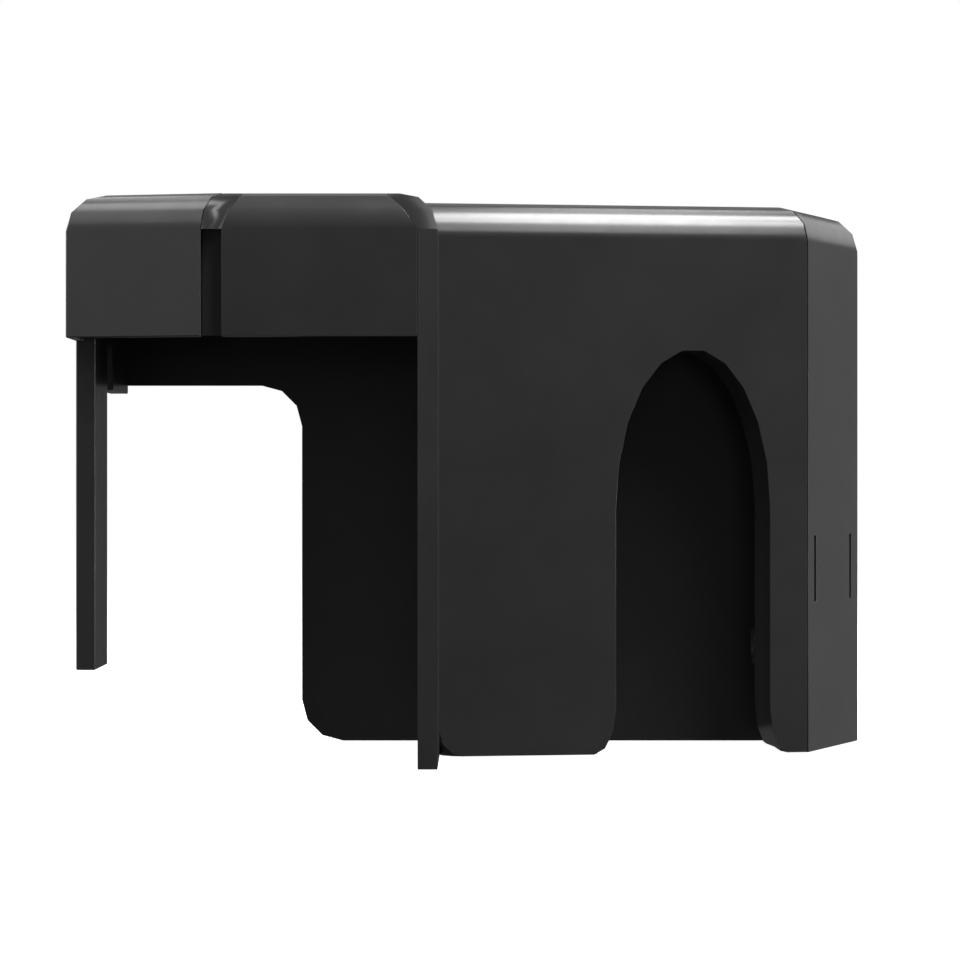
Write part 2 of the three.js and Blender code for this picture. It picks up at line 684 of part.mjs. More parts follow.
// ---------------------------------------------------------------- screws

const threadLength = postDepth - 2;
for (const [name, [x, z]] of Object.entries(screwPlaces)) {
  const profile = [
    [0, 0], [screwRadius, 0], [screwRadius, threadLength + wall - headDepth],
    [screwHead, threadLength + wall - headDepth], [screwHead, threadLength + wall - 0.5],
    [screwHead - 0.6, threadLength + wall - 0.05], [0, threadLength + wall - 0.05],
  ].map(([u, v]) => new THREE.Vector2(u, v));
  const geometry = new THREE.LatheGeometry(profile, 16);
  geometry.translate(x, rearInner - threadLength, z);
  place(name, solid(geometry), materials.steel);
}

export default group;
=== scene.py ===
# %% [markdown]
# A covered snap mouse trap, dressed for the camera
# =================================================
# The trap is a black moulded cover: a wall with an arched entrance at the right, an open bay for
# the hand at the left, and above the bay a lever that sits between two upright cheeks. This file
# loads the engineering model as a fixed frame and then gives the trap its looks. The big mouldings
# are made again here as numpy surfaces, because a surface of our own can carry a round top edge
# that shades smoothly and a fine broken edge that catches the light. The small working parts
# inside keep their solids and get finishes.

# %% Load the frame and keep its size
import json
import math

import bpy
import numpy as np
from mathutils import Matrix, Vector

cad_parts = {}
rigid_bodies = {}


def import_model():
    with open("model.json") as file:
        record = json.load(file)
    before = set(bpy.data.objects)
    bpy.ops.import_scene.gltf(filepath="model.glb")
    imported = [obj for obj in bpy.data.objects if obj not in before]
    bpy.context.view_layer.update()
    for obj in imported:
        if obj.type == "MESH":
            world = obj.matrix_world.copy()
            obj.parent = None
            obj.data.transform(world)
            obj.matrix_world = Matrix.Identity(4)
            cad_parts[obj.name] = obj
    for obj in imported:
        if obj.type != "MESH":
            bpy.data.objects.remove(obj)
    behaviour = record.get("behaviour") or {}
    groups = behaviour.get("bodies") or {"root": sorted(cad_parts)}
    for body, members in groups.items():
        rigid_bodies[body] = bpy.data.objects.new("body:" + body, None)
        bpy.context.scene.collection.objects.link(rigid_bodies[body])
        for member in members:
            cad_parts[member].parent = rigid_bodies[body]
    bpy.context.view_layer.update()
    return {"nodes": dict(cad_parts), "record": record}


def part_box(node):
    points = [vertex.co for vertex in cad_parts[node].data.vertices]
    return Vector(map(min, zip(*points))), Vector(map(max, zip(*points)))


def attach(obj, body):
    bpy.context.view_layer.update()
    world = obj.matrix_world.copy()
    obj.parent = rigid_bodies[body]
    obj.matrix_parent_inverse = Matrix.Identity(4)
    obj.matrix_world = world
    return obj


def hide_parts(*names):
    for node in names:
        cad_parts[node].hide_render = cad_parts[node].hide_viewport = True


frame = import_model()
nodes = frame["nodes"]
print("solids:", len(nodes))


# %% [markdown]
# Every place below comes from the solids themselves. A node's box gives the outer faces of a
# moulding, so the new surfaces land exactly on the old ones. Only sizes that a box can't show,
# such as the radius of a round edge, are written down here, in millimetres.

# %% Measure the frame, in millimetres
MM = 0.001


def corners(node):
    """Lowest and highest corner of a solid, in millimetres: each coordinate divided by 0.001."""
    low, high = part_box(node)
    return np.array(low) / MM, np.array(high) / MM


low_all, high_all = corners("rear_wall")
left, right = low_all[0], high_all[0]
rear_inner, back = low_all[1], high_all[1]
bay_top = high_all[2]
cheek_low, cheek_high = corners("centre_cheek")
front = cheek_low[1]
centre_outer = cheek_high[0]
left_cheek_low = corners("left_cheek")[0]
left_outer = left_cheek_low[0]
cover_top = corners("front_shell")[1][2]
fascia_foot = left_cheek_low[2]

WALL = 3.0
ROUND = 5.8
SEAM = 0.25
FACETS = np.radians([0.0, 30.0, 60.0, 90.0])
print("trap, mm:", np.round([right - left, back - front, cover_top], 1))
print("lever and wing hang down to", round(float(fascia_foot), 2), "mm above the floor")


# %% [markdown]
# A moulding is a thin shell: an outer skin, an inner skin and a rim that joins them. If both
# skins are drawn with the same points in the same order, the rim can be found instead of drawn:
# it runs along every edge that only one face uses. One helper can then close every cover.

# %% A shell from two matching skins
def shell_mesh(outer, inner, faces):
    """Points: the outer skin's, then the inner skin's. Faces: the outer ones, the inner ones turned
    round, and one quad (a, b, b + n, a + n) for each edge a-b that one outer face alone uses."""
    outer, inner = np.asarray(outer, float), np.asarray(inner, float)
    count = len(outer)
    used = {}
    for face in faces:
        for a, b in zip(face, face[1:] + face[:1]):
            used[(a, b)] = used.get((a, b), 0) + 1
    rim = [(b, a, a + count, b + count) for (a, b) in used if (b, a) not in used]
    turned = [tuple(i + count for i in reversed(face)) for face in faces]
    return np.vstack([outer, inner]), [tuple(face) for face in faces] + turned + rim


def signed_volume(points, faces):
    """A sixth of the sum of a . (b x c) over the triangles of each face: above 0 if they face out."""
    total = 0.0
    for face in faces:
        ring = points[list(face)]
        a, b, c = ring[0], ring[1:-1], ring[2:]
        total += float(np.sum(np.cross(b, c) @ a))
    return total / 6.0


# %% [markdown]
# Real mouldings have no knife edges. A bevel a few tenths of a millimetre wide breaks every sharp
# corner, and weighted normals keep the big faces flat while the round top edges, which turn in
# three steps, shade as one curve.

# %% Put a mesh in the scene, break its edges and let it ride
def settle(name, points, faces, body, stands_for=(), edge=0.16, material_slot="black_plastic"):
    """A mesh object at the origin, its points turned from millimetres to metres (times 0.001)."""
    if signed_volume(points, faces) < 0:
        faces = [tuple(reversed(face)) for face in faces]
    mesh = bpy.data.meshes.new(name)
    mesh.from_pydata((np.asarray(points) * MM).tolist(), [], faces)
    mesh.validate()
    mesh.shade_smooth()
    piece = bpy.data.objects.new(name, mesh)
    bpy.context.scene.collection.objects.link(piece)
    if edge > 0:
        bevel = piece.modifiers.new("broken_edges", "BEVEL")
        bevel.width = edge * MM
        bevel.segments = 2
        bevel.limit_method = "ANGLE"
        bevel.angle_limit = math.radians(40)
        bevel.harden_normals = True
    weigh = piece.modifiers.new("flat_faces", "WEIGHTED_NORMAL")
    weigh.keep_sharp = True
    weigh.weight = 80
    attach(piece, body)
    if stands_for:
        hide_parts(*stands_for)
    print(f"{name}: {len(points)} points, {signed_volume(np.asarray(points), faces):.0f} mm3 signed")
    return piece


# %% [markdown]
# The tunnel's front wall and end wall meet in a mitre, like a picture frame. Both are drawn on
# a skeleton of two lines on the floor. A point on a wall is then given by how far along the wall
# it is, how deep behind the outer face and how high.

# %% The tunnel's plan
front_left = np.array([centre_outer, front + 23.8])
front_right = np.array([right - 10.6, front + 33.2])
rear_right = np.array([right, rear_inner])


def unit(vector):
    """The vector divided by its length."""
    return vector / np.linalg.norm(vector)


front_run, end_run = unit(front_right - front_left), unit(rear_right - front_right)
front_in = np.array([-front_run[1], front_run[0]])
end_in = np.array([-end_run[1], end_run[0]])
front_length = np.linalg.norm(front_right - front_left)
mitre = unit(front_in + end_in)
print("front wall:", round(float(front_length), 1), "mm long, turned",
      round(math.degrees(math.atan2(front_run[1], front_run[0])), 1), "degrees")


def on_wall(start, run, inward, along, deep, high):
    """start + run * along + inward * deep in plan, at the given height."""
    plan = start + np.multiply.outer(along, run) + np.multiply.outer(deep, inward)
    return np.column_stack([plan, np.broadcast_to(high, len(plan))])


def to_mitre(run, inward, deep, gap):
    """How far along a wall the mitre line lies at a depth: the run that the mitre covers for one
    millimetre of depth, times the depth, plus a gap for the seam."""
    return deep * (mitre @ run) / (mitre @ inward) + gap / abs(mitre @ inward)


def arc(centre, radii, start, stop, steps):
    """centre + (rx cos t, rz sin t) for t from start to stop degrees in equal steps."""
    t = np.radians(np.linspace(start, stop, steps + 1))
    return np.column_stack([centre[0] + radii[0] * np.cos(t), centre[1] + radii[1] * np.sin(t)])


# %% [markdown]
# The cheeks are plates with one round upper corner, and their neighbours are cut to the same curve
# less a seam. The curve is needed at any height, so it is a small function.

# %% The cheek's outline, as its neighbours see it
LEFT_LEAN = 3.0


def cheek_edge(face, side, heights, lean=ROUND):
    """face below the round; above it, face - side * lean (1 - cos t), where sin t is the climb over
    the round's height. The left cheek leans less than it climbs, so its curve is half an oval."""
    climb = np.clip((np.asarray(heights, float) - (bay_top - ROUND)) / ROUND, 0, 1)
    knots = np.sin(FACETS)
    return face - side * lean * np.interp(climb, knots, 1 - np.cos(FACETS))


# %% [markdown]
# The front cover is the moulding that everyone notices: the wall with the mouse's door, the round
# edge above it and the flat roof that runs back to the rear wall. The wall is one outline with the
# arch bitten out of it, then come the three steps of the round edge, and last the roof.

# %% Front cover
ARCH_INSET, ARCH_HALF, ARCH_RISE, HEADER = 18.72, 12.5, 25.1, 23.1
FLARE_WIDTH, FLARE_HEIGHT, FOOT, CHEEK_SEAM = 3.5, 7.3, 4.0, 0.08
RIGHT_FLARE = 0.83 * FLARE_WIDTH
COLLAR = 2.4
arch_middle = front_length - ARCH_INSET
arch_spring = cover_top - HEADER - ARCH_RISE


def door_outline():
    """Up the left flare and jamb, over a half oval, down the right jamb and its narrower flare, in
    (along, high)."""
    head = arc((arch_middle, arch_spring), (ARCH_HALF, ARCH_RISE), 180, 0, 11)
    span = ARCH_HALF + FLARE_WIDTH
    flare = arc((0, FLARE_HEIGHT), (FLARE_WIDTH, FLARE_HEIGHT), 270, 360, 3)
    right_flare = (flare * [-RIGHT_FLARE / FLARE_WIDTH, 1])[::-1]
    return np.vstack([flare + [arch_middle - span, 0], head,
                      right_flare + [arch_middle + ARCH_HALF + RIGHT_FLARE, 0]])


def collar_outline(line):
    """The door's outline one collar's thickness further out: jambs moved, the oval's radii grown."""
    aside = line[:, 0] - arch_middle
    climb = np.clip(line[:, 1] - arch_spring, 0, None)
    wide = ARCH_HALF + COLLAR
    grown = np.where(climb > 1e-6, aside * wide / ARCH_HALF, np.sign(aside) * wide)
    return np.column_stack([arch_middle + grown, line[:, 1] + climb * COLLAR / ARCH_RISE])


def front_skin(deep, door):
    """The wall's outline, the steps of the round edge and the roof's two rear corners, at one depth."""
    round_deep = deep + (ROUND - deep) * (1 - np.cos(FACETS))
    round_high = cover_top - ROUND + (ROUND - deep) * np.sin(FACETS)
    left_x = cheek_edge(centre_outer + CHEEK_SEAM, 1, round_high)
    left_along = (left_x - front_left[0] - front_in[0] * round_deep) / front_run[0]
    right_along = front_length + to_mitre(front_run, front_in, round_deep, -SEAM / 2)
    start = left_along[0]
    foot = arc((start + FOOT, FOOT), (FOOT, FOOT), 180, 270, 3)
    wall_line = np.vstack([foot, door, [right_along[0], 0]])
    rows = np.column_stack([np.concatenate([right_along, left_along]),
                            np.concatenate([round_high, round_high])])
    deeps = np.concatenate([np.full(len(wall_line), deep), round_deep, round_deep])
    line = np.vstack([wall_line, rows])
    points = on_wall(front_left, front_run, front_in, line[:, 0], deeps, line[:, 1])
    reach = (rear_inner - front_right[1]) / mitre[1]
    far_corner = front_right + mitre * reach - [SEAM / 2 / abs(mitre[1]), 0]
    roof = [[*far_corner, round_high[-1]], [left_x[-1], rear_inner, round_high[-1]]]
    return np.vstack([points, roof]), len(wall_line)


door = door_outline()
front_outer, wall_count = front_skin(0.0, door)
front_inner, _ = front_skin(WALL, collar_outline(door))
r0 = wall_count
steps = len(FACETS)
front_faces = [tuple(range(wall_count)) + (r0, r0 + steps)]
front_faces += [(r0 + k, r0 + k + 1, r0 + steps + k + 1, r0 + steps + k) for k in range(steps - 1)]
front_faces += [(r0 + steps - 1, r0 + 2 * steps, r0 + 2 * steps + 1, r0 + 2 * steps - 1)]
front_points, front_faces = shell_mesh(front_outer, front_inner, front_faces)
print("front cover:", len(front_points), "points before the collar")

# %% [markdown]
# Behind the door a collar stiffens the thin wall and guides the mouse in. It is moulded in one
# with the wall, so here too it belongs to the same mesh: the rim that the shell helper drew round
# the door is dropped and two more rings of points are joined on, at the collar's far end. Last, the
# lowest points are lifted a hair, so that no broken edge reaches under the floor.

# %% Door collar
FOOT_CLEAR = 0.04
collar_end = arch_middle + ARCH_HALF + COLLAR
fork_front = corners("strike_bar")[0][1]
collar_deep = (fork_front - 0.35 - front_left[1] - collar_end * front_run[1]) / front_in[1]
inside_line = door.copy()
part_way = (FLARE_WIDTH - COLLAR + 0.15) / (door[1, 0] - door[0, 0])
for end, near in ((0, 1), (-1, -2)):
    inside_line[end] += part_way * (inside_line[near] - inside_line[end])
outside_line = collar_outline(inside_line)


def band(line, deep):
    """The line's points at one depth behind the front wall's outer face."""
    return on_wall(front_left, front_run, front_in, line[:, 0], np.full(len(line), deep), line[:, 1])


ring, first, half_count = len(door), 4, len(front_outer)
is_rim = [len(face) == 4 and all(first <= i % half_count < first + ring for i in face)
          for face in front_faces]
front_faces = [face for face, rim in zip(front_faces, is_rim) if not rim]
rings = [first + np.arange(ring), len(front_points) + np.arange(ring),
         len(front_points) + ring + np.arange(ring), half_count + first + np.arange(ring)]
for near, far in zip(rings[:-1], rings[1:]):
    front_faces += [tuple(int(i) for i in (near[k + 1], near[k], far[k], far[k + 1]))
                    for k in range(ring - 1)]
front_faces += [tuple(int(r[0]) for r in rings), tuple(int(r[-1]) for r in rings[::-1])]
front_points = np.vstack([front_points, band(inside_line, collar_deep), band(outside_line, collar_deep)])
front_points[:, 2] = np.maximum(front_points[:, 2], FOOT_CLEAR)
settle("front_cover", front_points, front_faces, "housing", stands_for=["front_shell"])
print(f"collar: {ring} points a ring, {collar_deep:.2f} mm deep, rim faces dropped: {sum(is_rim)}")

# %% [markdown]
# At the cheek's side the wall's foot rolls round to the back: its outline starts with a wide corner
# in front and ends with a tight one behind. That is a loft, a surface that blends one outline into
# another. Four rows of points, each closed by a point inside the wall, make it a solid. At the
# wall's other end an upright tongue stands behind the seam to the end cover, as on a real moulding,
# so that no light shines through the seam.

# %% Rolled heel of the wall and the tongue behind the corner seam
HEEL, TONGUE = 1.0, 1.5
wall_start = front_outer[0, 0] - front_left[0]
wide = arc((wall_start + FOOT, FOOT), (FOOT, FOOT), 180, 270, 6)
tight = arc((wall_start + HEEL, HEEL), (HEEL, HEEL), 180, 270, 6)
blend = [(0.0, 0.30), (0.62, 1.20), (1.0, 2.60), (1.0, WALL)]
hub = [[wall_start + FOOT + 1, FOOT + 1]]
heel_rows = [band(np.vstack([wide + share * (tight - wide), hub]), deep) for share, deep in blend]
across, last = len(heel_rows[0]), len(blend) - 1
heel_faces = [tuple(range(across)), tuple(range((last + 1) * across - 1, last * across - 1, -1))]
for row in range(last):
    heel_faces += [(row * across + k, (row + 1) * across + k, (row + 1) * across + (k + 1) % across,
                    row * across + (k + 1) % across) for k in range(across)]
settle("front_heel", np.vstack(heel_rows), heel_faces, "housing", edge=0)
aside = np.array([-mitre[1], mitre[0]])
TONGUE_FRONT = 1.4
tongue_plan = [front_right + mitre * reach + aside * half for reach, half in
               ((TONGUE_FRONT, -0.6), (TONGUE_FRONT, 0.6),
                (TONGUE_FRONT + TONGUE, 1.4), (TONGUE_FRONT + TONGUE, -1.4))]
tongue = [np.column_stack([tongue_plan, np.full(4, level)]) for level in (0.15, cover_top - WALL)]
settle("corner_tongue", *shell_mesh(tongue[0], tongue[1], [(0, 1, 2, 3)]), "housing", edge=0)

# %% [markdown]
# The end cover closes the tunnel at the right. Two upright slots are moulded through it, where the
# trigger's bracket snaps in. The wall is a small grid of cells and the cells at the slots are left
# out: the shell helper then finds their edges and lines them with material.

# %% End cover with its two slots
SLOT_WIDTH, SLOT_TALL, SLOT_MIDDLE, SLOT_FIRST, SLOT_LAST = 1.2, 10.6, 29.2, 3.9, 4.1
end_length = np.linalg.norm(rear_right - front_right)


def end_skin(deep):
    """A grid: columns at the ends and the slots' sides, rows at the slots' ends and the round's steps."""
    round_deep = deep + (ROUND - deep) * (1 - np.cos(FACETS))
    round_high = cover_top - ROUND + (ROUND - deep) * np.sin(FACETS)
    highs = np.concatenate([[0, SLOT_MIDDLE - SLOT_TALL / 2, SLOT_MIDDLE + SLOT_TALL / 2], round_high])
    deeps = np.concatenate([np.full(3, deep), round_deep])
    begin = to_mitre(end_run, end_in, deeps, SEAM / 2)
    finish = (rear_inner - front_right[1] - end_in[1] * deeps) / end_run[1]
    middles = np.array([SLOT_FIRST, end_length - SLOT_LAST])
    cuts = np.sort(np.concatenate([middles - SLOT_WIDTH / 2, middles + SLOT_WIDTH / 2]))
    columns = np.column_stack([begin, *(np.full(len(begin), cut) for cut in cuts), finish])
    grid = on_wall(front_right, end_run, end_in, columns.ravel(), np.repeat(deeps, columns.shape[1]),
                   np.repeat(highs, columns.shape[1]))
    reach = (rear_inner - front_right[1]) / mitre[1]
    far_corner = front_right + mitre * reach + [SEAM / 2 / abs(mitre[1]), 0]
    return np.vstack([grid, [*far_corner, round_high[-1]]]), columns.shape


end_outer, (end_rows, end_columns) = end_skin(0.0)
end_inner, _ = end_skin(WALL)
end_faces = []
for row in range(end_rows - 1):
    for column in range(end_columns - 1):
        if row == 1 and column in (1, 3):
            continue
        at = row * end_columns + column
        end_faces.append((at, at + 1, at + end_columns + 1, at + end_columns))
top_row = (end_rows - 1) * end_columns
end_faces.append(tuple(range(top_row, top_row + end_columns)) + (len(end_outer) - 1,))
settle("end_cover", *shell_mesh(end_outer, end_inner, end_faces), "housing", stands_for=["end_shell"])

# %% [markdown]
# The wing is the cover at the far left. Its front is turned a little away and its round top edge
# runs on along the side, so its skin is a profile carried round one corner: three columns, at the
# right end, at the corner and at the rear.

# %% Left wing
WING_SWEEP, WING_SIDE = 5.1, 1.8
wing_corner = np.array([left, front + WING_SWEEP])
wing_end = np.array([left_outer, front])
wing_run = unit(wing_end - wing_corner)
wing_in = np.array([-wing_run[1], wing_run[0]])


def wing_skin(skin, side):
    """For each row: where the front line, moved in, meets the cheek's curve, the side line and the
    rear plane. Then one last point at the roof's rear right."""
    rise = ROUND - skin
    deeps = np.concatenate([[skin], skin + rise * (1 - np.cos(FACETS))])
    sides = np.concatenate([[side], side + rise * (1 - np.cos(FACETS))])
    highs = np.concatenate([[fascia_foot], bay_top - ROUND + rise * np.sin(FACETS)])
    edge_x = cheek_edge(left_outer - CHEEK_SEAM, -1, highs, LEFT_LEAN)
    slope = wing_run[1] / wing_run[0]
    line_y = wing_corner[1] + deeps / wing_in[1]
    right_y = line_y + (edge_x - wing_corner[0]) * slope
    corner_x = left + sides
    corner_y = line_y + sides * slope
    grid = np.stack([np.column_stack([edge_x, right_y, highs]),
                     np.column_stack([corner_x, corner_y, highs]),
                     np.column_stack([corner_x, np.full(len(highs), rear_inner), highs])], axis=1)
    return np.vstack([grid.reshape(-1, 3), [edge_x[-1], rear_inner, highs[-1]]])


wing_outer, wing_inner = wing_skin(0.0, 0.0), wing_skin(WALL, WING_SIDE)
wing_faces = [(3 * row + c, 3 * row + c + 1, 3 * row + c + 4, 3 * row + c + 3)
              for row in range(4) for c in range(2)]
wing_faces.append((12, 13, 14, 15))
settle("wing_cover", *shell_mesh(wing_outer, wing_inner, wing_faces), "housing", stands_for=["left_wing"])

# %% [markdown]
# The lever is the moving block between the cheeks. It is a bent sheet: a front plate, the same
# round edge and a top plate that ends at its axle. The cheeks lean over it as two lips, and the
# lever's sides are cut back in the same three steps, so that only a hair of a seam shows.

# %% Lever cover
LIP_STEPS = np.array([0.0, 0.40, 0.81, 1.0])
CENTRE_LIP, LEFT_LIP, LEVER_SEAM = 4.8, 2.9, 0.07
lever_rear = corners("lever_axle")[1][1] + 0.5
centre_inner, left_inner = centre_outer - WALL, left_outer + WALL
lever_left, lever_right = left_inner + LEVER_SEAM, centre_inner - LEVER_SEAM
round_start = bay_top - ROUND


def lever_skin(deep):
    """Rows from the foot over the round edge to the rear: y and z from the round's steps, and x from
    the lips' reach at each row's height, so both skins end along the sloping lips. The rear end
    rises a little when the front is pressed, so it is eased in."""
    rise = ROUND - deep
    y = np.concatenate([[front + deep], front + ROUND - rise * np.cos(FACETS), [lever_rear]])
    z = np.concatenate([[fascia_foot], round_start + rise * np.sin(FACETS), [bay_top - deep]])
    cut = np.interp((z - round_start) / ROUND, np.sin(FACETS), LIP_STEPS)
    ease = np.where(y == lever_rear, 0.4, 0.0)
    grid = np.stack([np.column_stack([lever_left + LEFT_LIP * cut + ease, y, z]),
                     np.column_stack([lever_right - CENTRE_LIP * cut - ease, y, z])], axis=1)
    return grid.reshape(-1, 3)


lever_outer, lever_inner = lever_skin(0.0), lever_skin(WALL)
lever_faces = [(2 * row, 2 * row + 1, 2 * row + 3, 2 * row + 2) for row in range(len(lever_outer) // 2 - 1)]
settle("lever_cover", *shell_mesh(lever_outer, lever_inner, lever_faces), "lever",
       stands_for=["set_lever"], edge=0.07)

# %% [markdown]
# Under the lever are the parts that make it work: two stiffening ribs, two knuckles that turn on
# the axle and the lug that reaches through the cheek's window to the striker's tail. A rib and a
# lug are plates: an outline that is carried straight across and closed by two flat faces.

# %% Plates: an outline carried straight across
def plate(outline, plane, at, thick):
    """The outline's points on one plane and again one thickness away. The plane is 'x', 'y' or 'z',
    the axis that the plate is thin along."""
    outline = np.asarray(outline, float)
    order = {"x": (2, 0, 1), "y": (0, 2, 1), "z": (0, 1, 2)}[plane]
    skins = []
    for level in (at, at + thick):
        flat = np.column_stack([outline, np.full(len(outline), level)])
        skins.append(flat[:, order])
    return shell_mesh(skins[0], skins[1], [tuple(range(len(outline)))])


def rod(radius, axis, middle, start, stop, sides=32, bore=0.0):
    """A turned piece: rings of radius r at each end, x = r cos t, y = r sin t, about the axis."""
    t = np.linspace(0, 2 * np.pi, sides, endpoint=False)
    circle = np.column_stack([np.cos(t), np.sin(t)])
    order = (2, 0, 1) if axis == "x" else (0, 2, 1)
    def ring_at(size, level):
        flat = np.column_stack([middle[0] + size * circle[:, 0], middle[1] + size * circle[:, 1],
                                np.full(sides, level)])
        return flat[:, order]
    if bore > 0:
        outer = np.vstack([ring_at(radius, start), ring_at(radius, stop)])
        inner = np.vstack([ring_at(bore, start), ring_at(bore, stop)])
        faces = [(i, (i + 1) % sides, sides + (i + 1) % sides, sides + i) for i in range(sides)]
        return shell_mesh(outer, inner, faces)
    return shell_mesh(ring_at(radius, start), ring_at(radius, stop), [tuple(range(sides))])


axle_low, axle_high = corners("lever_axle")
axle_y, axle_z = (axle_low[1] + axle_high[1]) / 2, (axle_low[2] + axle_high[2]) / 2
axle_radius = (axle_high[1] - axle_low[1]) / 2
HUB = axle_radius + 1.8
lever_middle = (lever_left + lever_right) / 2
under_top = bay_top - WALL
rib_outline = [(front + WALL, fascia_foot + 4), (front + WALL, under_top - 2.0), (front + ROUND, under_top),
               (axle_y, under_top), (axle_y, axle_z + HUB - 0.5), (front + WALL + 6, under_top - 3.5)]
RIB, RIB_INSET, KNUCKLE_GAP = 1.6, 5.9, 5.25
for side, at in (("left", lever_left + RIB_INSET), ("right", lever_right - RIB_INSET - RIB)):
    settle(f"lever_rib_{side}", *plate(rib_outline, "x", at, RIB), "lever", edge=0.1)
knuckles = (("left", lever_left + 0.4, lever_middle - KNUCKLE_GAP),
            ("right", lever_middle + KNUCKLE_GAP, lever_right - 0.4))
for side, start, stop in knuckles:
    settle(f"lever_knuckle_{side}", *rod(HUB, "x", (axle_y, axle_z), start, stop, bore=axle_radius + 0.1),
           "lever", edge=0.1)
    web = [(axle_y - 2.6, axle_z + 1.9), (axle_y + 2.0, axle_z + 2.7), (axle_y + 2.0, under_top),
           (axle_y - 2.6, under_top)]
    web_start = start + 2.6 if side == "left" else start
    settle(f"lever_web_{side}", *plate(web, "x", web_start, stop - start - 2.6), "lever", edge=0.1)
print("lever: ribs, knuckles and webs under a", round(float(lever_right - lever_left), 1), "mm wide cover")
pivot_low, pivot_high = corners("striker_axle")
pivot_x, pivot_z = (pivot_low[0] + pivot_high[0]) / 2, (pivot_low[2] + pivot_high[2]) / 2
tail_front = corners("striker")[0][1]
lug_outline = [(lever_right - WALL, pivot_z + 9.2), (pivot_x - 0.6, pivot_z + 9.2),
               (pivot_x - 0.6, pivot_z + 12.2), (lever_right - 0.6, pivot_z + 12.2),
               (lever_right - 0.6, round_start), (lever_right - 2.2, under_top), (lever_right - 6, under_top),
               (lever_right - 6, pivot_z + 11.2), (lever_right - WALL, pivot_z + 11.2)]
settle("lever_lug", *plate(lug_outline, "y", tail_front - 0.6, 5.0), "lever", edge=0.12)


# %% [markdown]
# A cheek is a plate whose upper outer corner is round and whose inner corner leans over the lever
# as a lip, so it is wider at the top than below. Its front edge rolls back with the same radius as
# its neighbours. Below the round edge the two sides are one outline each. Above it four corner
# points per row are enough.

# %% Cheeks
def cheek(name, node, outer, side, lean, lip, outline, recess=0.0):
    """The outline (y, z) on both sides up to the round edge, then rows of four corners: the outer
    side from cheek_edge, the lip from its reach times LIP_STEPS, the front from ROUND (1 - cos t).
    With a recess the first row is there twice, on the recessed face and at the very front."""
    outline = np.asarray(outline, float)
    count = len(outline)
    inner = outer - side * WALL
    faces = [tuple(range(count)), tuple(range(2 * count - 1, count - 1, -1))]
    points = [np.column_stack([np.full(count, at), outline]) for at in (outer, inner)]
    for i in range(count - 1):
        faces.append((i, i + count, i + 1 + count, i + 1))
    from_step = 0 if recess else 1
    turns, reach = FACETS[from_step:], lip * LIP_STEPS[from_step:]
    high = round_start + ROUND * np.sin(turns)
    ahead = front + ROUND * (1 - np.cos(turns))
    behind = np.full(len(turns), rear_inner)
    outside = cheek_edge(outer, side, high, lean)
    inside = inner - side * reach
    ring = ((outside, ahead), (inside, ahead), (inside, behind), (outside, behind))
    rows = np.stack([np.column_stack([x, y, high]) for x, y in ring], axis=1)
    points.append(rows.reshape(-1, 3))
    below = (count - 1, 2 * count - 1, count, 0)
    for row in range(len(turns)):
        at = 2 * count + 4 * row
        faces += [(below[c], below[(c + 1) % 4], at + (c + 1) % 4, at + c) for c in range(4)]
        below = (at, at + 1, at + 2, at + 3)
    faces.append(below)
    return settle(name, np.vstack(points), faces, "housing", stands_for=[node])


MOUTH_ROUND = 6.8
mouth_front, mouth_top = front_left[1] + WALL, pivot_z - 8.0
centre_outline = np.vstack([
    [[rear_inner, round_start], [rear_inner, mouth_top]],
    arc((mouth_front + MOUTH_ROUND, mouth_top - MOUTH_ROUND), (MOUTH_ROUND, MOUTH_ROUND), 90, 180, 3),
    [[mouth_front, 0], [front, 0], [front, round_start]]])
LEFT_RECESS = 2.6
left_front = front + LEFT_RECESS
left_outline = [[rear_inner, round_start], [rear_inner, fascia_foot + 4.0], [left_front, fascia_foot + 0.2],
                [left_front, round_start]]
centre_piece = cheek("centre_upright", "centre_cheek", centre_outer, 1, ROUND, CENTRE_LIP, centre_outline)
left_piece = cheek("left_upright", "left_cheek", left_outer, -1, LEFT_LEAN, LEFT_LIP, left_outline,
                   LEFT_RECESS)


# %% [markdown]
# The centre cheek has a window for the lever's lug. A hole inside a face is the one thing an outline
# can't hold, so here a block is taken away with the Boolean modifier and the result is kept.

# %% Window in the centre cheek
def cut_away(piece, points, faces):
    """piece minus the block: the Boolean modifier, evaluated once and kept as the piece's mesh."""
    if signed_volume(points, faces) < 0:
        faces = [tuple(reversed(face)) for face in faces]
    mesh = bpy.data.meshes.new("cutter")
    mesh.from_pydata((points * MM).tolist(), [], faces)
    cutter = bpy.data.objects.new("cutter", mesh)
    bpy.context.scene.collection.objects.link(cutter)
    others = [(m, m.show_viewport) for m in piece.modifiers]
    for modifier, _ in others:
        modifier.show_viewport = False
    boolean = piece.modifiers.new("window", "BOOLEAN")
    boolean.object, boolean.operation, boolean.solver = cutter, "DIFFERENCE", "EXACT"
    bpy.context.view_layer.update()
    view = bpy.context.evaluated_depsgraph_get()
    kept = bpy.data.meshes.new_from_object(piece.evaluated_get(view))
    piece.modifiers.remove(boolean)
    kept.name = piece.name
    piece.data = kept
    kept.shade_smooth()
    for modifier, shown in others:
        modifier.show_viewport = shown
    bpy.data.objects.remove(cutter)


window = [(tail_front - 2.1, pivot_z + 5.0), (tail_front + 6.9, pivot_z + 5.0),
          (tail_front + 6.9, pivot_z + 13.4), (tail_front - 2.1, pivot_z + 13.4)]
cut_away(centre_piece, *plate(window, "x", centre_outer - 3 * WALL, 4 * WALL))
print("window in the centre cheek:", len(centre_piece.data.polygons), "faces left")

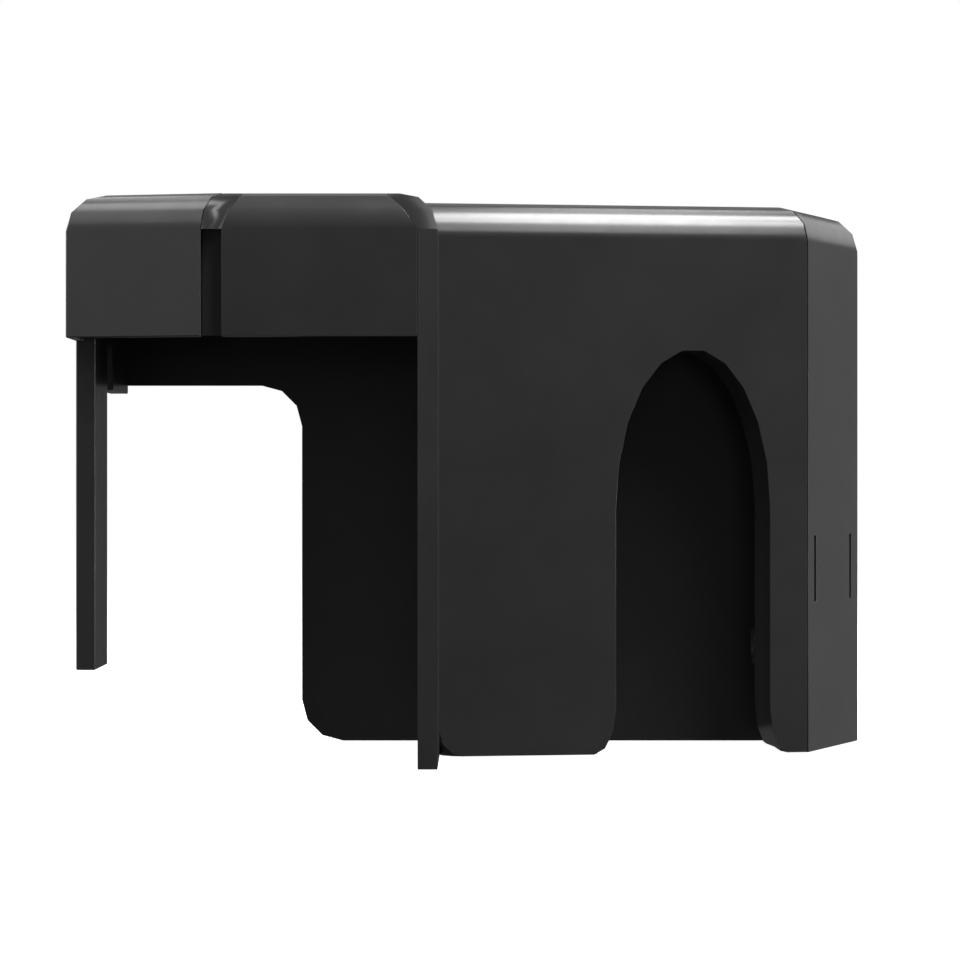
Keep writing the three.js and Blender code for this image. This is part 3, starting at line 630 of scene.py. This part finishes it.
# %% [markdown]
# The top front of a cheek is a compound curve: it rolls back like its neighbours and also twists to
# one side, into the lip. Three flat steps have the right outline but not the twist. So the outline
# is kept, and the shading normals are worked out from the twist and set on those few faces.

# %% Twisted top fronts
def twist(piece, outer, side, lean, lip, tilt_outer, tilt_inner, roll_outer, roll_inner):
    """For a corner on row k: normal = (t, -cos(r) sqrt(1 - t^2), sin(r) sqrt(1 - t^2)), with the tilt
    t and the roll r from the outer or the inner list at k. Other faces keep their own normals."""
    mesh = piece.data
    for modifier in list(piece.modifiers):
        piece.modifiers.remove(modifier)
    mesh.set_sharp_from_angle(angle=math.radians(40))
    count = len(mesh.vertices)
    places = np.empty(count * 3)
    mesh.vertices.foreach_get("co", places)
    places = places.reshape(-1, 3) / MM
    rolled = (places[:, 2] > round_start - 0.01) & (places[:, 1] < front + ROUND + 0.01)
    climb = np.degrees(np.arcsin(np.clip((places[:, 2] - round_start) / ROUND, 0, 1)))
    outer_x = cheek_edge(outer, side, places[:, 2], lean)
    rows = np.degrees(FACETS)
    inner_x = outer - side * (WALL + lip * np.interp(climb, rows, LIP_STEPS))
    at_outer = np.abs(places[:, 0] - outer_x) < np.abs(places[:, 0] - inner_x)

    def at_rows(outer_list, inner_list):
        return np.where(at_outer, np.interp(climb, rows, outer_list), np.interp(climb, rows, inner_list))

    tilt, roll = at_rows(tilt_outer, tilt_inner), np.radians(at_rows(roll_outer, roll_inner))
    level = np.sqrt(1 - tilt ** 2)
    bent = np.column_stack([tilt, -np.cos(roll) * level, np.sin(roll) * level])
    normals = np.zeros((len(mesh.loops), 3))
    turned = 0
    for face in mesh.polygons:
        corners_of = list(face.vertices)
        if face.normal.y < -0.05 and face.normal.z > 0.05 and rolled[corners_of].all():
            normals[list(face.loop_indices)] = bent[corners_of]
            turned += 1
    mesh.normals_split_custom_set(normals.tolist())
    print(piece.name, "has", turned, "twisted faces")


twist(centre_piece, centre_outer, 1, ROUND, CENTRE_LIP,
      (0.60, 0.60, 0.60, 0.60), (0.40, 0.36, 0.36, 0.36), (8, 10, 14, 60), (4, 6, 10, 60))
twist(left_piece, left_outer, -1, LEFT_LEAN, LEFT_LIP,
      (-0.20, 0.02, 0.45, 0.50), (0.62, 0.58, 0.50, 0.45), (16, 24, 20, 60), (-2, 6, 10, 60))

# %% [markdown]
# The two side plates hang from inside the wing. Each is full thickness below the wing and thinned
# above, so that it laps inside the wing's side wall.

# %% Side plates
for name, node in (("leg_plate", "side_leg"), ("rail_plate", "side_rail")):
    (x0, y0, z0), (x1, y1, z1) = corners(node)
    lap = left + WING_SIDE + SEAM
    outline = [(x0, z0), (x1, z0), (x1, z1), (lap, z1), (lap, fascia_foot - SEAM), (x0, fascia_foot - SEAM)]
    settle(name, *plate(outline, "y", y0, y1 - y0), "housing", stands_for=[node], edge=0.2)

# %% [markdown]
# Behind the covers stand the screw posts, all but the tunnel's tied to a wall by a small web,
# and the boss that holds the front end of the striker's axle.

# %% Posts, webs and the axle's boss
POST, POST_DEEP = 3.0, 9.0
for node in ("screw_wing", "screw_bay", "screw_tunnel", "screw_end_top", "screw_end_foot"):
    low, high = corners(node)
    x, z = (low[0] + high[0]) / 2, (low[2] + high[2]) / 2
    where = node.replace("screw_", "")
    settle(f"post_{where}", *rod(POST, "y", (x, z), rear_inner - POST_DEEP, rear_inner - 0.05, bore=1.42),
           "housing", edge=0.12)
    reach = {"wing": left + 1.0, "bay": left_outer + 1.5,
             "end_top": right - 4.6, "end_foot": right - 4.6}.get(where)
    if reach is not None:
        x0, x1 = sorted((reach, x - 2.2 if reach < x else x + 2.2))
        deep = POST_DEEP if reach < x else WALL
        web = [(x0, z - 1), (x1, z - 1), (x1, z + 1), (x0, z + 1)]
        settle(f"web_{where}", *plate(web, "y", rear_inner - deep, deep - 0.05), "housing", edge=0.1)
settle("axle_boss", *rod(3.3, "y", (pivot_x, pivot_z), front_left[1] + WALL, tail_front - 1.2, bore=1.6),
       "housing", edge=0.12)


# %% [markdown]
# Finishes
# --------
# The covers are black injection-moulded plastic with a fine spark-eroded grain. The grain is far
# smaller than a millimetre, so it shows as a satin sheen and not as bumps. Slow variation in the
# roughness, from the flow of the melt and from handling, stops the big faces from looking drawn.

# %% Moulded plastic
def plastic(name, dark, light, rough, rough_swing, flow=0.011, grain=0.00022, specular=0.5):
    """Colour and roughness follow two noises on Object coordinates, one about flow metres across and
    one a third of that. A grain about 0.2 mm across lifts the surface by a few microns."""
    material = bpy.data.materials.new(name)
    material.use_nodes = True
    tree = material.node_tree
    shader = tree.nodes["Principled BSDF"]
    shader.inputs["Specular IOR Level"].default_value = specular
    where = tree.nodes.new("ShaderNodeTexCoord")
    slow = tree.nodes.new("ShaderNodeTexNoise")
    slow.inputs["Scale"].default_value = 1 / flow
    slow.inputs["Detail"].default_value = 3.0
    colours = tree.nodes.new("ShaderNodeValToRGB")
    colours.color_ramp.elements[0].color = (*dark, 1)
    colours.color_ramp.elements[1].color = (*light, 1)
    colours.color_ramp.elements[0].position, colours.color_ramp.elements[1].position = 0.3, 0.7
    sheen = tree.nodes.new("ShaderNodeTexNoise")
    sheen.inputs["Scale"].default_value = 3 / flow
    sheen.inputs["Detail"].default_value = 4.0
    spread = tree.nodes.new("ShaderNodeMapRange")
    spread.inputs["From Min"].default_value, spread.inputs["From Max"].default_value = 0.3, 0.7
    spread.inputs["To Min"].default_value = rough - rough_swing
    spread.inputs["To Max"].default_value = rough + rough_swing
    pits = tree.nodes.new("ShaderNodeTexNoise")
    pits.inputs["Scale"].default_value = 1 / grain
    pits.inputs["Detail"].default_value = 2.0
    bump = tree.nodes.new("ShaderNodeBump")
    bump.inputs["Strength"].default_value = 0.25
    bump.inputs["Distance"].default_value = 0.000006
    for target in (slow, sheen, pits):
        tree.links.new(where.outputs["Object"], target.inputs["Vector"])
    tree.links.new(slow.outputs["Fac"], colours.inputs["Fac"])
    tree.links.new(colours.outputs["Color"], shader.inputs["Base Color"])
    tree.links.new(sheen.outputs["Fac"], spread.inputs["Value"])
    tree.links.new(spread.outputs["Result"], shader.inputs["Roughness"])
    tree.links.new(pits.outputs["Fac"], bump.inputs["Height"])
    tree.links.new(bump.outputs["Normal"], shader.inputs["Normal"])
    return material


cover_black = plastic("moulded_black", (0.029, 0.029, 0.029), (0.034, 0.034, 0.034), 0.24, 0.02)
working_grey = plastic("working_grey", (0.030, 0.031, 0.034), (0.040, 0.041, 0.044), 0.38, 0.05, flow=0.006)


# %% [markdown]
# Pins, springs and screws are drawn steel. Drawing leaves fine lines along the wire, so the noise
# that drives the roughness is stretched along one axis.

# %% Drawn steel
def steel(name, colour, rough, along):
    """Colour and roughness follow a noise whose scale along the drawing axis is a twentieth."""
    material = bpy.data.materials.new(name)
    material.use_nodes = True
    tree = material.node_tree
    shader = tree.nodes["Principled BSDF"]
    shader.inputs["Metallic"].default_value = 1.0
    where = tree.nodes.new("ShaderNodeTexCoord")
    stretch = tree.nodes.new("ShaderNodeMapping")
    stretch.inputs["Scale"].default_value = tuple(0.05 if axis == along else 1.0 for axis in "xyz")
    lines = tree.nodes.new("ShaderNodeTexNoise")
    lines.inputs["Scale"].default_value = 5000.0
    lines.inputs["Detail"].default_value = 3.0
    tint = tree.nodes.new("ShaderNodeValToRGB")
    tint.color_ramp.elements[0].color = (*(c * 0.8 for c in colour), 1)
    tint.color_ramp.elements[1].color = (*colour, 1)
    spread = tree.nodes.new("ShaderNodeMapRange")
    spread.inputs["To Min"].default_value = rough - 0.08
    spread.inputs["To Max"].default_value = rough + 0.08
    tree.links.new(where.outputs["Object"], stretch.inputs["Vector"])
    tree.links.new(stretch.outputs["Vector"], lines.inputs["Vector"])
    tree.links.new(lines.outputs["Fac"], tint.inputs["Fac"])
    tree.links.new(tint.outputs["Color"], shader.inputs["Base Color"])
    tree.links.new(lines.outputs["Fac"], spread.inputs["Value"])
    tree.links.new(spread.outputs["Result"], shader.inputs["Roughness"])
    return material


steel_y = steel("drawn_steel", (0.60, 0.61, 0.62), 0.30, "y")
steel_x = steel("drawn_steel_across", (0.60, 0.61, 0.62), 0.30, "x")

# %% Hand the finishes out
slots = {part["node"]: part["material_slot"] for part in frame["record"]["subparts"]}
by_slot = {"black_plastic": cover_black, "working_plastic": working_grey, "steel": steel_y}
for name, node in nodes.items():
    finish = steel_x if name in ("lever_axle", "spring_arm") else by_slot[slots[name]]
    node.data.materials.clear()
    node.data.materials.append(finish)
for piece in bpy.context.scene.objects:
    if piece.type == "MESH" and piece.name not in nodes:
        piece.data.materials.clear()
        piece.data.materials.append(cover_black)

# %% [markdown]
# The stage is a pale floor, big enough to have no visible edge. It shines a little by itself, so it
# stays white where the lamps don't reach, and it is left out of reflections: the black faces near
# it then keep the even tone that they have higher up.

# %% Floor
FLOOR = 6.0
floor_mesh = bpy.data.meshes.new("floor")
floor_mesh.from_pydata([(x * FLOOR, y * FLOOR, -0.0002) for x, y in ((-1, -1), (1, -1), (1, 1), (-1, 1))],
                       [], [(0, 1, 2, 3)])
floor = bpy.data.objects.new("floor", floor_mesh)
bpy.context.scene.collection.objects.link(floor)
pale = bpy.data.materials.new("pale_floor")
pale.use_nodes = True
pale_shader = pale.node_tree.nodes["Principled BSDF"]
pale_shader.inputs["Base Color"].default_value = (0.8, 0.8, 0.8, 1)
pale_shader.inputs["Roughness"].default_value = 0.9
pale_shader.inputs["Specular IOR Level"].default_value = 0.0
pale_shader.inputs["Emission Color"].default_value = (1, 1, 1, 1)
pale_shader.inputs["Emission Strength"].default_value = 0.96
floor.data.materials.append(pale)
floor.visible_diffuse = floor.visible_glossy = False
print("floor:", 2 * FLOOR, "m square")


# %% [markdown]
# Black satin plastic shows its shape by what it mirrors. A front face mirrors the dark room behind
# the camera and stays near black. A round top edge mirrors a lamp overhead as a bright band, and a
# wall that is turned a little to one side mirrors the lamp on that side. So each lamp here has one
# surface to draw, and the room itself is kept dim. A lamp that is longer than it is wide has to be
# turned with its length along the round edge's turn, or it lights the lever next door as well.

# %% Lamps
camera_place = Vector((-0.08 * MM, (front - 525.0) * MM, 43.43 * MM))
LAMP_AWAY = 0.6


def lamp(name, place, target, size, watts):
    """An area lamp that looks at its target. Its width lies along x, or along y for a lamp that
    stands at the side: across = x - back (x . back), and its length is back x across."""
    light = bpy.data.lights.new(name, "AREA")
    light.shape = "RECTANGLE"
    light.size, light.size_y = size
    light.energy = watts
    back = (Vector(place) - Vector(target)).normalized()
    side = Vector((0, 1, 0)) if abs(back.x) > 0.9 else Vector((1, 0, 0))
    across = (side - back * side.dot(back)).normalized()
    thing = bpy.data.objects.new(name, light)
    thing.location = place
    thing.rotation_euler = Matrix((across, back.cross(across), back)).transposed().to_euler()
    thing.visible_camera = False
    bpy.context.scene.collection.objects.link(thing)
    return thing


def lamps_over(name, edge, inward, rows):
    """Lamps LAMP_AWAY metres from a round edge, where the edge mirrors them into the camera. At a
    turn t the edge's normal is n = (-inward cos t, sin t), and the lamp is at 2 n (n . d) - d for a
    camera at d. Each row is the turn in degrees, the lamp's width, its length and its watts."""
    edge = Vector(edge)
    view = (camera_place - edge).normalized()
    for number, (turn, wide, long, watts) in enumerate(rows):
        t = math.radians(turn)
        normal = Vector((-inward[0] * math.cos(t), -inward[1] * math.cos(t), math.sin(t)))
        mirrored = 2 * normal * normal.dot(view) - view
        lamp(f"{name}_{number}", edge + LAMP_AWAY * mirrored, edge, (wide, long), watts)


lamps_over("tunnel_lamp", (0.023, -0.002, 0.084), front_in,
           [(54.0, 0.10, 0.28, 0.42), (39.5, 0.14, 0.28, 3.20),
            (29.0, 0.14, 0.15, 1.90), (18.0, 0.14, 0.28, 0.80)])
lamps_over("wing_lamp", (-0.052, -0.027, 0.084), wing_in,
           [(60.0, 0.08, 0.44, 0.25), (40.5, 0.13, 0.36, 0.80), (21.5, 0.13, 0.42, 0.36)])
lamp("front_left", (-0.400, -0.500, 0.150), (0, 0, 0.05), (0.35, 0.35), 0.19)
lamp("left", (-0.620, -0.050, 0.150), (0, 0, 0.05), (0.50, 0.40), 0.85)
lamp("right", (0.620, -0.050, 0.150), (0, 0, 0.05), (0.50, 0.40), 1.60)
lamp("low_right", (0.450, -0.120, 0.030), (-0.03, -0.03, 0.08), (0.15, 0.08), 0.40)
lamp("back_right", (0.500, 0.350, 0.050), (0.05, 0, 0.045), (0.50, 0.50), 0.09)
lamp("end_edge", (0.360, 0.520, 0.300), (0.05, 0, 0.06), (0.30, 0.25), 0.20)
lamp("back", (-0.150, 0.520, 0.360), (0, 0, 0.06), (0.70, 0.25), 0.14)
lamp("left_back", (-0.600, 0.220, 0.220), (0, 0.05, 0.05), (0.40, 0.40), 1.50)

# %% The room
world = bpy.data.worlds.new("room")
bpy.context.scene.world = world
world.use_nodes = True
tree = world.node_tree
tree.nodes.clear()
output = tree.nodes.new("ShaderNodeOutputWorld")
room, backdrop = tree.nodes.new("ShaderNodeBackground"), tree.nodes.new("ShaderNodeBackground")
room.inputs["Color"].default_value = (0.091, 0.091, 0.091, 1)
backdrop.inputs["Color"].default_value = (1, 1, 1, 1)
path, choose = tree.nodes.new("ShaderNodeLightPath"), tree.nodes.new("ShaderNodeMixShader")
tree.links.new(path.outputs["Is Camera Ray"], choose.inputs[0])
tree.links.new(room.outputs[0], choose.inputs[1])
tree.links.new(backdrop.outputs[0], choose.inputs[2])
tree.links.new(choose.outputs[0], output.inputs[0])
bpy.context.scene.view_settings.view_transform = "Standard"
print("room: a dim grey that the camera sees as white")

# %% [markdown]
# The camera looks level along the depth of the trap from half a metre away, at half its height, as
# a catalogue picture is taken with a long lens.

# %% Camera
camera_data = bpy.data.cameras.new("camera")
camera_data.sensor_width = 36.0
camera_data.lens = 131.25
camera_data.clip_start = 0.02
camera = bpy.data.objects.new("camera", camera_data)
camera.location = camera_place
camera.rotation_euler = (math.pi / 2, 0, 0)
bpy.context.scene.collection.objects.link(camera)
bpy.context.scene.camera = camera
